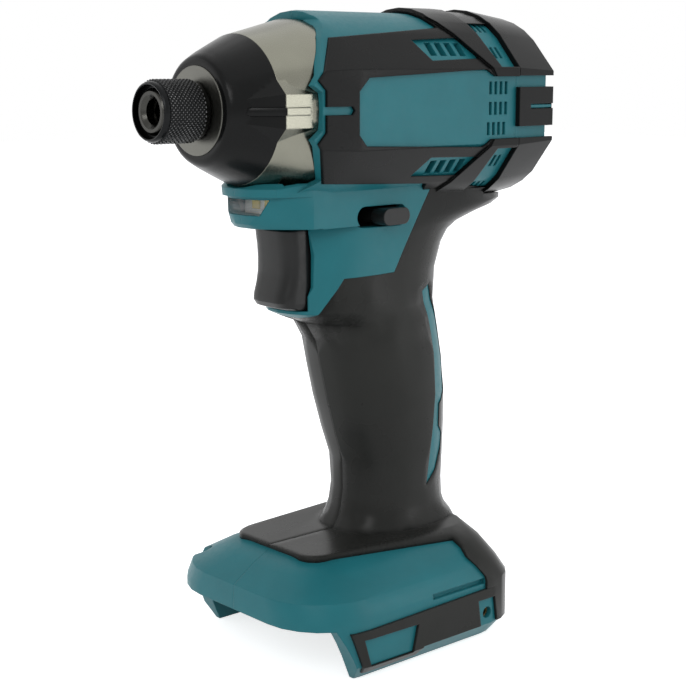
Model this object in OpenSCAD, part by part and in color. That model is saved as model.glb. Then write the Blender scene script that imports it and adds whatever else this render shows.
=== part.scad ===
// Cordless impact driver, bare tool without its battery.
// Lengths are in millimetres. The nose points along +X, up is +Z, the left side is +Y.
// The modules measure x from the back of the motor cover and z from the underside of the battery rails.

/* [Overall] */
// Length from the back of the motor cover to the front of the bit sleeve
tool_len = 145; // [137:1:157]
// Height of the spindle axis above the underside of the battery rails
spindle_z = 172; // [164:1:184]
// Width of the motor head across its side windows
head_w = 56.4; // [55:0.2:62]
// Height of the motor head above the spindle axis
head_up = 29.5; // [28.5:0.5:33]
// Depth of the motor head below the spindle axis
head_down = 30.5; // [29:0.5:33]
// Wall of the moulded housing
wall = 2.6; // [2:0.1:3]
// How far the soft cover stands out from the housing
soft = 1; // [0.6:0.1:1.6]

/* [Grip] */
// Widest part of the grip, from side to side
grip_w = 38.4; // [34:0.2:44]
// Distance from the front of the bit sleeve to the front of the grip below the trigger
grip_back = 62; // [58:1:68]

/* [Foot] */
// Width of the battery foot
foot_w = 79; // [74:1:86]
// Length of the battery foot
foot_len = 90; // [84:1:100]
// Height of the foot's top face under the grip
foot_top = 35; // [33:0.5:40]
// Depth of the battery bay between the rails
bay_h = 17.5; // [16:0.5:19]
// Thickness of each battery rail
rail_w = 6.5; // [5:0.5:8]

/* [Nose] */
// Outside diameter of the bit sleeve
sleeve_d = 18.5; // [17.5:0.1:21]
// Length of the bit sleeve
sleeve_len = 16; // [15:0.2:17]
// How far the bit sleeve is pulled forward to free a bit
sleeve_travel = 4; // [3:0.5:4.5]
// Width across the flats of the hexagon socket
bit_hex = 6.45; // [6.35:0.05:6.6]
// Diameter of the anvil's nose
anvil_nose_d = 13.5; // [13:0.1:14]
// Diameter of the hammer case's front ring
case_ring_d = 26; // [24:0.5:28]

/* [Impact mechanism] */
// Diameter of the hammer
hammer_d = 37.2; // [34:0.2:38]
// How far the hammer backs off from the anvil when it strikes
hammer_travel = 6; // [4:0.5:7]
// Diameter of the spindle inside the hammer
spindle_d = 15; // [14:0.5:16]
// Diameter of the balls between the spindle and the hammer
cam_ball_d = 5.5; // [5:0.1:6]

/* [Gear train] */
// Gear module
gear_m = 1; // [0.95:0.01:1.02]
// Teeth of the pinion on the motor shaft
sun_teeth = 10; // [10:2:10]
// Teeth of each planet gear
planet_teeth = 14; // [14:2:14]
// Wall of the ring gear outside its teeth
ring_wall = 2.6; // [2:0.1:3]
// Width of the gears
gear_w = 7; // [5:0.5:7.5]
// Thinning of each tooth, for play between the flanks
tooth_play = 0.18; // [0.12:0.02:0.3]

/* [Motor] */
// Thickness of the motor's magnets
magnet_t = 3.75; // [3:0.25:4.25]
// Diameter of the armature
armature_d = 30.4; // [28:0.2:31]
// Diameter of the motor shaft
shaft_d = 5; // [4:0.5:5.5]

/* [Controls] */
// How far the trigger is pulled
trigger_travel = 7; // [5:0.5:8]
// Width of the trigger
trigger_w = 19; // [16:0.5:20]
// Swing of the reversing lever from one side to the other, in degrees
lever_swing = 11.7; // [8:0.1:13]

/* [Fits] */
// Radial gap of a turning shaft in its bearing
run_gap = 0.05; // [0.02:0.01:0.1]
// Gap beside a sliding piece
slide_gap = 0.3; // [0.2:0.05:0.5]

/* [Hidden] */
$fn = 36;

teal = [0.16, 0.42, 0.46];
black = [0.16, 0.165, 0.175];
steel = [0.62, 0.63, 0.65];
dark_steel = [0.30, 0.30, 0.32];
aluminium = [0.66, 0.66, 0.62];
bronze = [0.62, 0.48, 0.26];
copper = [0.72, 0.42, 0.25];
cream = [0.86, 0.83, 0.74];

// Stations along the tool, measured from the back
nose = tool_len - 0.8;
cover_x = 22;
case_front = nose - 15.6;
bumper_back = nose - 29.6;
chamber_front = nose - 33.6;
lug_front = chamber_front - 0.8;
lug_back = lug_front - 5;
hammer_face = lug_back - 0.4;
hammer_back = hammer_face - 17.2;
carrier_front = hammer_back - hammer_travel - 0.4;
gear_front = carrier_front - 4;
gear_back = gear_front - gear_w;
carrier_back = gear_back - 3.8;
box_back = carrier_back - 14;
fan_front = box_back - 1.6;
core_front = fan_front - 9.8;
core_back = 19;
rim_x = nose - 38.6;
taper_x = nose - 54;

// Heights of the grip and its controls follow the spindle height
function zg(drop) = spindle_z - drop * (spindle_z - foot_top) / 137;
// The grip stays at its distance from the front of the tool
function xg(x) = x + (tool_len - grip_back) - 83;

// Motor head, half of its cross section: side window, bevel, crown
dome_z = 1.7;
side_y = head_w / 2;
function quarter(tall) = concat(
  [[side_y, 11.5]],
  [for (a = [46 : 11 : 90]) [(tall - dome_z) * cos(a), dome_z + (tall - dome_z) * sin(a)]]
);
upper = quarter(head_up);
lower = quarter(head_down);
head_points = concat(
  upper,
  [for (i = [len(upper) - 2 : -1 : 0]) [-upper[i][0], upper[i][1]]],
  [for (i = [0 : len(lower) - 1]) [-lower[i][0], -lower[i][1]]],
  [for (i = [len(lower) - 2 : -1 : 0]) [lower[i][0], -lower[i][1]]]
);

// Grip, one row a height: drop below the spindle, back, front, half width as a share of the grip's width
grip_rows = [
  [144, 26.8, 78, 0.53], [139.4, 26.8, 77.4, 0.52], [136.4, 28.4, 75.6, 0.48], [133.4, 30.8, 73.6, 0.435],
  [130, 32, 72.4, 0.412], [124, 32.4, 71.4, 0.404], [114, 32.6, 71.7, 0.43], [104, 32.8, 75, 0.465],
  [93, 33.3, 78.2, 0.49], [82, 34.4, 80.9, 0.495], [73, 36, 83, 0.488], [67, 36.8, 87, 0.48],
  [64.6, 36.8, 93.5, 0.476], [62.4, 36.8, 98.6, 0.468], [52, 35.8, 99, 0.458], [44, 32.6, 100, 0.452],
  [40, 29.4, 100, 0.452], [37.4, 24.6, 100, 0.452], [35, 16, 100, 0.452], [33, 7.5, 100, 0.452],
  [31, 3.5, 100, 0.452], [24, 3.5, 100, 0.455], [14, 22.2, 100, 0.46]
];
// Points round the grip, on its outside and under the soft cover
ring_points = 26;
hidden_points = 14;
// How far the grip's stripe lies below the soft cover
stripe_in = 0.3;
// Thickness of the outlines that a tapered form is stretched over
slice = 0.1;
// How far the claws and the motor cover's pads stand out
pad = soft + 0.8;

// Gears
sun_r = gear_m * sun_teeth / 2;
planet_r = gear_m * planet_teeth / 2;
ring_teeth = sun_teeth + 2 * planet_teeth;
ring_r = gear_m * ring_teeth / 2;
planet_orbit = sun_r + planet_r;
pressure = 25;
addendum = 0.8 * gear_m;
dedendum = 1.1 * gear_m;

// Parts turned about the spindle axis
nose_r = anvil_nose_d / 2;
sleeve_r = sleeve_d / 2;
journal_r = nose_r + 0.65;
bush_r = journal_r + 1.8;
case_ring_r = case_ring_d / 2;
hammer_r = hammer_d / 2;
chamber_r = hammer_r + 1;
carrier_r = ring_r - addendum - 1;
gear_seat_r = ring_r + dedendum + ring_wall;
case_r = gear_seat_r + 2.3;
ring_out_r = gear_seat_r - 0.1;
spindle_r = spindle_d / 2;
tip_r = 3.5;
cam_r = cam_ball_d / 2;
cam_orbit = spindle_r + 0.4;
cam_x = hammer_face - 4.2;
pinion_bore_r = sun_r + addendum + 0.4;
hub_r = pinion_bore_r + 2.25;
bearing_r = hub_r + 6.5;
shaft_r = shaft_d / 2;
magnet_r = armature_d / 2 + 0.6;
yoke_r = magnet_r + magnet_t + 1.95;

// Bit socket and its lock
ball_x = nose - 9.8;
ball_r = 2.1;
ball_orbit = bit_hex / 2 - 0.72 + ball_r;
sleeve_front = tool_len;
sleeve_back = sleeve_front - sleeve_len;
land_front = ball_x + 1.3;
land_back = ball_x - sleeve_travel + ball_r + 0.1;
ring_back = nose - 2.4;

// Controls
trigger_z = zg(48.6);
switch_front = xg(80);
switch_back = xg(56);
lever_z = zg(33);
lever_x = xg(44);
lever_mid = xg(69.7);
lamp_x = nose - 40.5;

// Screws that close the housing, by distance from the back and height
screw_places = [
  [box_back + 6, spindle_z + 25.7], [31, spindle_z + 25.5], [nose - 46.4, zg(30.7)], [xg(32.5), zg(26.2)],
  [xg(70), zg(71)], [xg(44), zg(75)], [xg(54), zg(129)], [xg(105.4), 25.2]
];
screw_seat = 8;
cover_screw_y = 22.4;
cover_screw_z = 10.6;

// Foot outline
foot_front = xg(117.4);
foot_back = foot_front - foot_len;
hook_x = foot_back + 16;
hook_z = 9;
// Teal wall outside the hook's threaded insert
hook_seat = 1.8;
// Set-in of the rails' undersides
skirt_bevel = 4.3;

module at_axis() {
  translate([0, 0, spindle_z])
    children();
}

module along_x(x0, x1) {
  translate([x0, 0, spindle_z])
    rotate([90, 0, 90])
      linear_extrude(x1 - x0)
        children();
}

module disc(x0, x1, r) {
  translate([x0, 0, spindle_z])
    rotate([0, 90, 0])
      cylinder(h = x1 - x0, r = r);
}

module tube(x0, x1, r_out, r_in) {
  difference() {
    disc(x0, x1, r_out);
    disc(x0 - 1, x1 + 1, r_in);
  }
}

// Profile points are [radius, distance from the back]
module turned(points) {
  translate([0, 0, spindle_z])
    rotate([0, 90, 0])
      rotate_extrude()
        polygon(points);
}

// Side view outline, points are [x, z], cut from y0 to y1
module side_prism(points, y0, y1) {
  translate([0, y1, 0])
    rotate([90, 0, 0])
      linear_extrude(y1 - y0)
        polygon(points);
}

module peg(x, z, y0, y1, r) {
  translate([x, y1, z])
    rotate([90, 0, 0])
      cylinder(h = y1 - y0, r = r);
}

module block(x0, x1, y0, y1, z0, z1) {
  translate([x0, y0, z0])
    cube([x1 - x0, y1 - y0, z1 - z0]);
}

// One unbroken skin over a stack of level outlines
module loft(rings) {
  m = len(rings[0]);
  n = len(rings);
  polyhedron(
    points = [for (r = rings) each r],
    faces = concat(
      [[for (i = [0 : m - 1]) i]],
      [[for (i = [m - 1 : -1 : 0]) (n - 1) * m + i]],
      [for (k = [0 : n - 2]) for (i = [0 : m - 1])
        [k * m + i, (k + 1) * m + i, (k + 1) * m + (i + 1) % m]],
      [for (k = [0 : n - 2]) for (i = [0 : m - 1])
        [k * m + i, (k + 1) * m + (i + 1) % m, k * m + (i + 1) % m]]
    )
  );
}

function power(v, e) = sign(v) * pow(abs(v), e);
function level_ring(z, back, front, half_w, e, m) = [
  for (i = [0 : m - 1])
    let (a = 360 * i / m)
    [(back + front) / 2 + (front - back) / 2 * power(cos(a), e), half_w * power(sin(a), e), z]
];

// Coil along x as one tube, its ends a quarter turn apart from the seats
module coil(x0, x1, r, wire, turns) {
  steps = 12;
  count = round(turns * steps);
  rise = (x1 - x0 - 2 * wire) / count;
  m = 6;
  rings = [
    for (k = [0 : count])
      let (a = 360 * k / steps)
      [for (i = [0 : m - 1])
        let (b = -360 * i / m, q = r + wire * cos(b))
        [x0 + wire + rise * k + wire * sin(b), q * cos(a), q * sin(a)]]
  ];
  at_axis()
    loft(rings);
}

// Gear tooth, half angle of the flank at a radius
function involute(a) = tan(a) * 180 / PI - a;
function flank(r, base, half) = half + involute(pressure) - involute(acos(min(1, base / r)));
function gear_points(teeth, pitch, root, tip, half) =
  let (base = pitch * cos(pressure), start = max(root, base))
  [for (t = [0 : teeth - 1], p = [[root, -1], [start, -1], [pitch, -1], [tip, -1],
                                   [tip, 1], [pitch, 1], [start, 1], [root, 1]])
    let (a = 360 * t / teeth + p[1] * flank(p[0], base, half))
    p[0] * [cos(a), sin(a)]];

module gear_shape(teeth) {
  pitch = gear_m * teeth / 2;
  half = 90 / teeth - tooth_play / pitch * 90 / PI;
  polygon(gear_points(teeth, pitch, pitch - dedendum, pitch + addendum, half));
}

module ring_space() {
  half = 90 / ring_teeth + tooth_play / ring_r * 90 / PI;
  rotate(180 / ring_teeth)
    polygon(gear_points(ring_teeth, ring_r, ring_r - addendum, ring_r + dedendum, half));
}

// Motor head, grown or shrunk by g, running forward into a narrower rim
module head_slice(x, g, share) {
  along_x(x, x + slice)
    scale([share, share])
      offset(delta = g)
        polygon(head_points);
}

module head_block(x0, g) {
  hull() {
    head_slice(x0, g, 1);
    head_slice(taper_x, g, 1);
    head_slice(rim_x + 1, g, 0.94);
  }
}

module grip_block(g) {
  points = g < -stripe_in ? hidden_points : ring_points;
  loft([for (r = grip_rows)
    level_ring(zg(r[0]), xg(r[1]) - g, xg(r[2]) + g, grip_w * r[3] + g, 0.86, points)]);
}

// Chin that carries the lamp, wide behind and narrow in front
module chin_slice(z, tip, side, g) {
  translate([0, 0, z])
    linear_extrude(slice)
      offset(delta = g)
        polygon([
          [xg(60), grip_w * 0.45], [xg(60), -grip_w * 0.45], [nose - 46, -grip_w * 0.45],
          [tip - 5.6, -side], [tip - 1.4, -side * 0.58], [tip, -side * 0.26],
          [tip, side * 0.26], [tip - 1.4, side * 0.58], [tip - 5.6, side], [nose - 46, grip_w * 0.45]
        ]);
}

// Lip under the hammer case, and the set-in part below it
module chin_block(g) {
  hull() {
    chin_slice(zg(25.6) - g, nose - 29.4, 13.2, g);
    chin_slice(zg(23.2), nose - 29.2, 13.4, g);
    chin_slice(zg(21.6), nose - 31, 12.6, g);
  }
  hull() {
    chin_slice(zg(35.5) - g, nose - 33.6, 12, g);
    chin_slice(zg(34) - g, nose - 32.2, 12.4, g);
    chin_slice(zg(30.6), nose - 31.3, 12.8, g);
    chin_slice(zg(23), nose - 31, 12.8, g);
  }
}

// Foot levels: height, set-in of the front, of the sides in front and behind, of the back, two corner radii
foot_levels = [
  [bay_h - 0.02, 0, 0, 0, 0, 22, 14], [bay_h + 2.5, 0, 0, 0, 0, 22, 14],
  [foot_top - 9.7, 0.4, 2.5, 2.3, 3.2, 22, 13], [foot_top - 4.4, 8.3, 11.4, 7.4, 6.8, 18, 12],
  [foot_top - 0.8, 15.4, 19.7, 15.5, 8.5, 10, 10]
];

module foot_level(z, row, g) {
  translate([0, 0, z])
    linear_extrude(slice)
      hull()
        for (s = [-1, 1]) {
          translate([foot_front - row[1] - row[5], s * (foot_w / 2 - row[2] - row[5])])
            circle(row[5] + g, $fn = 24);
          translate([foot_back + row[4] + row[6], s * (foot_w / 2 - row[3] - row[6])])
            circle(row[6] + g, $fn = 20);
        }
}

module foot_slice(z, g) {
  foot_level(z, foot_levels[0], g);
}

module foot_body(g) {
  hull()
    for (row = foot_levels)
      foot_level(row[0] + (row[2] > 5 ? g : 0), row, g);
}

// Skirt with the two rails, open in front where the battery slides in
module foot_skirt() {
  difference() {
    hull() {
      foot_slice(0, -skirt_bevel);
      foot_slice(5, 0);
      foot_slice(bay_h + 2, 0);
    }
    translate([foot_back + wall + 3, -foot_w / 2 + rail_w, -1])
      cube([foot_len, foot_w - 2 * rail_w, bay_h + 1]);
    side_prism([
      [xg(97.6), -1], [xg(101.2), 7.8], [xg(103.4), 12.4], [xg(107.8), bay_h + 2.7], [xg(140), bay_h + 2.7],
      [xg(140), -1]
    ], -60, 60);
    side_prism([[foot_back - 1.2, -1], [foot_back - 1.2, 5.7], [foot_back + 8.8, -1]], -60, 60);
  }
}

// Lips that the battery's grooves run on
module rail_lips() {
  for (s = [-1, 1])
    translate([foot_back + 8, s * (foot_w / 2 - rail_w - 1.7) - 2.2, 3.5])
      cube([xg(92) - foot_back - 8, 4.4, 4]);
}

module case_profile(g) {
  turned([
    [0, 62], [case_r + g, 62], [case_r + g, nose - 52], [case_r + 1.8 + g, nose - 51.2],
    [case_r + 1.8 + g, nose - 48.5], [case_r - 0.3 + g, nose - 40], [case_r - 2.8 + g, bumper_back],
    [case_r - 5.4 + g, bumper_back], [case_r - 9.8 + g, nose - 20], [case_ring_r + g, nose - 18.5],
    [case_ring_r + g, case_front], [0, case_front]
  ]);
}

// Flat pad on each side of the hammer case and the bumper, seen from the front
module side_pad(s, out, low, half) {
  polygon([
    [s * (low - 9), half + 4.5], [s * low, half + 3.9], [s * out, half],
    [s * out, -half], [s * low, -half - 3.9], [s * (low - 9), -half - 4.5]
  ]);
}

// Side view line of the housing's front rim
rim_points = [
  [-40, spindle_z - 60], [nose - 38, spindle_z - 60], [nose - 38, zg(26)], [nose - 46.5, zg(20.4)],
  [rim_x + 0.5, spindle_z - 8.2], [rim_x - 2.7, spindle_z - 5.6], [rim_x - 2.7, spindle_z + 5.2],
  [rim_x + 0.4, spindle_z + 7.2], [nose - 47.5, spindle_z + 21], [nose - 50.6, spindle_z + 24],
  [nose - 52.4, spindle_z + 26.4], [nose - 49.5, spindle_z + 40], [-40, spindle_z + 40]
];

module side_slots() {
  for (row = [-1, 0, 1], i = [0 : 3])
    translate([cover_x + 4.6 + 2.4 * i + (row < 0 ? 0.8 : 0), 0, spindle_z + 6.4 * row - 0.4])
      cube([1.2, 80, 4], center = true);
}

module on_bevel(x, up) {
  at_axis()
    for (s = [-1, 1])
      rotate([s * (up > 0 ? 51.5 : 128.5), 0, 0])
        translate([x, 0, 27.5])
          children();
}

module bevel_slots() {
  for (i = [0 : 3], up = [-1, 1])
    on_bevel(cover_x + 20.5 + 4.3 * i, up)
      cube([2.7, 5.4, 15], center = true);
}

module rear_slots() {
  at_axis()
    for (a = [30, 150, 210, 330], i = [0 : 2])
      rotate([a, 0, 0])
        translate([cover_x + 2.6 + 2.3 * i, 0, 27.5])
          cube([1.2, 6, 15], center = true);
  at_axis()
    for (a = [54, 126, 234, 306], i = [0, 1])
      rotate([a, 0, 0])
        translate([cover_x + 3.4 + 2.3 * i, 0, 27.5])
          cube([1.2, 4.6, 15], center = true);
}

// Slot that the lever's thumb piece looks out of
module lever_slot(g) {
  hull()
    for (x = [xg(62.9), xg(77.4)])
      peg(x, lever_z, -60, 60, 3.3 + g);
}

// Trapezoid window in the chin for the lamp
module lens_prism(g, back) {
  translate([back, 0, 0])
    rotate([90, 0, 90])
      linear_extrude(30)
        offset(delta = g)
          polygon([[-9.9, zg(26.5)], [9.9, zg(26.5)], [7.5, zg(31)], [-7.5, zg(31)]]);
}

module trigger_cut() {
  side_prism([
    [xg(94.6), zg(35.3)], [xg(93.3), zg(44)], [xg(93.4), zg(54)], [xg(96), zg(59.5)],
    [xg(101), zg(61.8)], [xg(130), zg(61.8)], [xg(130), zg(35.3)]
  ], -60, 60);
  block(xg(84.3), xg(100.4), -trigger_w / 2 - 0.5, trigger_w / 2 + 0.5, zg(61.4), zg(35.4));
}

// What lies in front of the motor cover's joint
module before_cover(g) {
  intersection() {
    children();
    block(cover_x + g, nose, -60, 60, -20, spindle_z + 60);
  }
}

// Everything below the motor head that the soft cover lies on
module housing_body() {
  chin_block(0);
  before_cover(0)
    grip_block(-soft);
  intersection() {
    grip_block(0);
    side_prism(teal_grip, -60, 60);
  }
  intersection() {
    grip_block(-stripe_in);
    side_prism(grip_stripe, -60, 60);
  }
  foot_body(0);
}

module housing_solid() {
  difference() {
    union() {
      intersection() {
        head_block(cover_x, 0);
        side_prism(rim_points, -60, 60);
      }
      housing_body();
      foot_skirt();
      rail_lips();
    }
    difference() {
      union() {
        head_block(cover_x - 1, -wall);
        before_cover(wall)
          grip_block(-wall - soft);
        difference() {
          chin_block(-wall);
          side_prism([[nose - 46.9, 0], [nose - 44.6, spindle_z], [nose, spindle_z], [nose, 0]], -30, 30);
        }
        block(nose - 50, lamp_x + 2.5, -10.4, 10.4, zg(31.8), zg(21));
        intersection() {
          foot_body(-wall);
          block(foot_back, foot_front, -60, 60, bay_h + wall, 60);
        }
      }
      ribs();
    }
    case_profile(0.15);
    disc(bumper_back - 2.2, nose, case_r - 2);
    trigger_cut();
    lever_slot(0);
    lens_prism(0.15, lamp_x + 1.9);
    side_slots();
    bevel_slots();
    rear_slots();
    block(xg(50), xg(86), -17, 17, bay_h - 1, bay_h + wall + 1);
    for (s = [-1, 1])
      translate([0, s * foot_w / 2, 0]) {
        peg(hook_x, hook_z, -2.2, 2.2, 1.9, $fn = 26);
        peg(hook_x, hook_z, s > 0 ? -6 : hook_seat, s > 0 ? -hook_seat : 6, 3.3);
        block(xg(44.3), xg(68.3), -1.5, 1.5, 19.2, 20.9);
      }
    for (s = [-1, 1])
      translate([cover_x - 1, s * cover_screw_y, spindle_z - cover_screw_z])
        rotate([0, 90, 0])
          cylinder(h = 15, r = 1.3, $fn = 16);
  }
}

// Teal part of the grip, above and in front of the soft cover
teal_grip = [
  [xg(48), zg(23)], [xg(65.2), zg(51)], [xg(84.5), zg(51.6)], [xg(92.4), zg(62.6)],
  [xg(97), zg(66)], [xg(130), zg(66)], [xg(130), zg(13)], [xg(48), zg(13)]
];

// Ribs that hold the motor, the gear case, the switch and the closing screws
module ribs() {
  difference() {
    union() {
      for (x = [core_back + 3, core_front - 3])
        tube(x, x + 2, 40, yoke_r + 0.12);
      tube(64, 66, 40, case_r + 0.12);
      tube(nose - 58, nose - 56, 40, case_r + 0.12);
      tube(box_back + 1, box_back + 3, 40, gear_seat_r - 0.55);
    }
    block(0, nose, -40, 40, 0, spindle_z - 24.5);
  }
  for (p = screw_places) {
    peg(p[0], p[1], -30, 30, 2.9, $fn = 10);
    peg(p[0], p[1], -60, -screw_seat + 1.5, 4.6, $fn = 10);
  }
  for (s = [-1, 1])
    translate([cover_x, s * cover_screw_y, spindle_z - cover_screw_z])
      rotate([0, 90, 0])
        cylinder(h = 15, r = 2.6, $fn = 12);
  block(switch_back - 2.3, switch_back - 0.1, -30, 30, zg(60), zg(42));
  block(switch_front - 4, switch_front - 1, -30, -10.6, zg(62), zg(38));
  block(switch_front - 4, switch_front - 1, 10.6, 30, zg(62), zg(38));
}

module housing_half(side) {
  difference() {
    intersection() {
      housing_solid();
      block(-20, nose + 20, side > 0 ? 0 : -60, side > 0 ? 60 : 0, -20, spindle_z + 60);
    }
    for (p = screw_places)
      if (side > 0)
        peg(p[0], p[1], -1, 10.4, 1.3, $fn = 10);
      else {
        peg(p[0], p[1], -30, 1, 1.75, $fn = 10);
        peg(p[0], p[1], -60, -screw_seat, 3.4, $fn = 14);
      }
  }
}

module housing_left() {
  color(teal)
    housing_half(1);
}

module housing_right() {
  color(teal)
    housing_half(-1);
}

// Windows of the head panel in side view, measured from the back and from the spindle axis
function from_axis(points) = [for (p = points) [p[0], spindle_z + p[1]]];
panel_outline = from_axis([
  [rim_x - 0.8, 8.6], [nose - 49.8, 21], [47, 24.6], [50, 34], [10, 34], [10, -34], [xg(48), -34],
  [xg(54), -23.6], [nose - 46.8, -21.6], [rim_x - 0.6, -9.4], [rim_x - 3.5, -6.2], [rim_x - 3.5, 5.8]
]);
side_window = from_axis([
  [nose - 53.6, 5.5], [nose - 57.5, 9.4], [36.5, 11.8], [32.5, 9.6], [10, 9.6],
  [10, -9.8], [33.6, -10], [37.5, -12.4], [nose - 56.5, -10.5], [nose - 53.6, -7.2]
]);
upper_window = from_axis([[62.6, 20.6], [41, 21.6], [37, 15.2], [58.6, 14.4]]);
lower_window = from_axis([[58.6, -15], [37, -15.6], [42, -21.4], [63.4, -20.8]]);
rear_window = from_axis([[33, 26.2], [10, 26.2], [10, 12.6], [30, 12.6]]);
rear_window_low = from_axis([[33, -26.6], [10, -26.6], [10, -13.2], [30, -13.2]]);
tongue = from_axis([[rim_x, 1.2], [rim_x, -1.2], [nose - 51.2, -1.2], [nose - 52, 0], [nose - 51.2, 1.2]]);
grip_stripe = [
  [xg(47), zg(56.6)], [xg(51.2), zg(58.6)], [xg(48.8), zg(68.5)], [xg(46.9), zg(79)], [xg(46.5), zg(93)],
  [xg(46.9), zg(108)], [xg(47.8), zg(124.2)], [xg(43), zg(119.3)],
  [xg(40.3), zg(112.3)], [xg(40), zg(107.7)],
  [xg(43), zg(104.4)], [xg(43.2), zg(97)], [xg(38.4), zg(93.6)], [xg(38.4), zg(86)], [xg(39.8), zg(78)],
  [xg(41.8), zg(68.4)]
];

// Raised claws that run from the crown and the belly to the corners of the side window
claw = [
  [10, 9.6], [32.5, 9.6], [34.6, 12.6], [47.5, 28], [47.5, 40], [34.2, 40],
  [33.2, 26.2], [30.2, 12.6], [10, 12.6]
];

module claws() {
  intersection() {
    difference() {
      head_block(cover_x + 0.1, pad);
      head_block(cover_x - 1, 0);
    }
    union() {
      side_prism(from_axis(claw), -60, 60);
      side_prism(from_axis([for (p = claw) [p[0] + 0.8, -p[1] - 0.4]]), -60, 60);
    }
  }
}

module panel_shell() {
  claws();
  intersection() {
    difference() {
      head_block(cover_x, soft);
      head_block(cover_x - 1, 0);
    }
    difference() {
      side_prism(panel_outline, -60, 60);
      side_prism(side_window, -60, 60);
      side_prism(upper_window, -60, 60);
      side_prism(lower_window, -60, 60);
      side_prism(rear_window, -60, 60);
      side_prism(rear_window_low, -60, 60);
      side_prism(tongue, -60, 60);
    }
  }
}

module grip_shell() {
  difference() {
    grip_block(0);
    side_prism(teal_grip, -60, 60);
    side_prism(grip_stripe, -60, 60);
    head_block(cover_x - 1, 0);
    cover_block(pad + slide_gap);
  }
}

foot_cover_line = [
  [xg(102.4), 60], [xg(102.4), foot_top - 7], [xg(58), foot_top - 7.6], [xg(49), foot_top - 7],
  [xg(44.4), foot_top - 13.4], [xg(44.4), 17.6], [foot_back - 5, 17.2], [foot_back - 5, 60]
];
foot_strip_line = [
  [xg(102.5), 16.4], [xg(97.5), 2.6], [xg(75), 2.6], [xg(73), 5.4],
  [foot_back - 5, 5.4], [foot_back - 5, 17.5],
  [foot_back + 15, 17.5]
];
strip_window = [[xg(98), 13.8], [xg(95.5), 5], [xg(77.5), 4.6], [xg(75.4), 13.4]];
hook_window = [[hook_x - 4.5, 4.8], [hook_x - 2.8, 14.2], [hook_x + 5, 14.2], [hook_x + 3.6, 4.8]];

module foot_cover() {
  difference() {
    intersection() {
      foot_body(soft);
      side_prism(foot_cover_line, -60, 60);
      union() {
        cover_plan();
        block(foot_back - 5, xg(49), -60, 60, 0, 60);
      }
    }
    foot_skirt();
  }
}

// Outline of the soft cover on top of the foot, seen from above
module cover_plan() {
  translate([0, 0, 10])
    linear_extrude(40)
      hull()
        for (s = [-1, 1]) {
          translate([xg(94.6), s * 12.8])
            rotate(7)
              circle(8, $fn = 28);
          translate([foot_back + 18, s * 20.5])
            rotate(7)
              circle(9, $fn = 12);
        }
}

module foot_strip() {
  difference() {
    intersection() {
      hull() {
        foot_slice(0, soft - skirt_bevel);
        foot_slice(5, soft);
        foot_slice(bay_h + 2, soft);
      }
      side_prism(foot_strip_line, -60, 60);
    }
    hull() {
      foot_slice(-0.1, -skirt_bevel);
      foot_slice(5, 0);
      foot_slice(bay_h + 3, 0);
    }
    side_prism(strip_window, -60, 60);
    side_prism(hook_window, -60, 60);
  }
}

module soft_cover(side) {
  difference() {
    intersection() {
      union() {
        panel_shell();
        grip_shell();
        foot_cover();
        foot_strip();
      }
      block(-20, nose + 20, side > 0 ? 0 : -60, side > 0 ? 60 : 0, -20, spindle_z + 60);
    }
    housing_body();
    lever_slot(0.4);
    if (side < 0)
      for (p = screw_places)
        peg(p[0], p[1], -60, -1, 3.6, $fn = 20);
  }
}

module soft_cover_left() {
  color(black)
    soft_cover(1);
}

module soft_cover_right() {
  color(black)
    soft_cover(-1);
}

// Motor cover at the back, a shell with the rear bearing's seat
module cover_slice(x, g, share_y, share_z) {
  along_x(x, x + slice)
    offset(delta = g)
      scale([share_y, share_z])
        polygon(head_points);
}

module cover_block(g) {
  hull() {
    cover_slice(cover_x - slice - 0.02, g, 1, 1);
    cover_slice(6 - g, g, 0.955, 0.92);
    cover_slice(pad - g, g, 0.79, 0.58);
  }
}

module rear_cover() {
  color(teal)
    difference() {
      union() {
        difference() {
          cover_block(0);
          cover_block(-wall);
          disc(cover_x - 1, cover_x + 1, 24);
        }
        tube(pad + wall - 0.2, 7.8, 9.4, 6.55);
        intersection() {
          cover_block(pad - 0.4);
          for (s = [-1, 1])
            translate([3.4, s * 36 - 12, spindle_z - 0.5])
              cube([cover_x - 9.7, 24, 1]);
        }
        intersection() {
          cover_block(0);
          for (s = [-1, 1])
            translate([pad + wall, s * cover_screw_y, spindle_z - cover_screw_z])
              rotate([0, 90, 0])
                cylinder(h = cover_x - pad - wall - 0.05, r = 2.8, $fn = 20);
        }
      }
      for (s = [-1, 1])
        translate([-1, s * cover_screw_y, spindle_z - cover_screw_z])
          rotate([0, 90, 0]) {
            cylinder(h = 40, r = 1.7);
            cylinder(h = 13.15, r = 3.2);
          }
    }
}

// Soft pads of the motor cover: crown, belly and the two side bumpers
module rear_cover_pads() {
  color(black)
    difference() {
      intersection() {
        difference() {
          cover_block(pad);
          cover_block(0);
        }
        union() {
          block(-5, cover_x - 0.1, -60, 60, spindle_z + 9.8, spindle_z + 60);
          block(-5, cover_x - 0.1, -60, 60, spindle_z - 60, spindle_z - 10);
          block(-5, cover_x - 0.1, -60, 60, spindle_z - 6.3, spindle_z + 6.2);
        }
      }
      block(2, cover_x - 6, -60, 60, spindle_z - 0.8, spindle_z + 0.8);
      for (s = [-1, 1])
        translate([-5, s * cover_screw_y, spindle_z - cover_screw_z])
          rotate([0, 90, 0])
            cylinder(h = 30, r = 3.4);
    }
}

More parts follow.
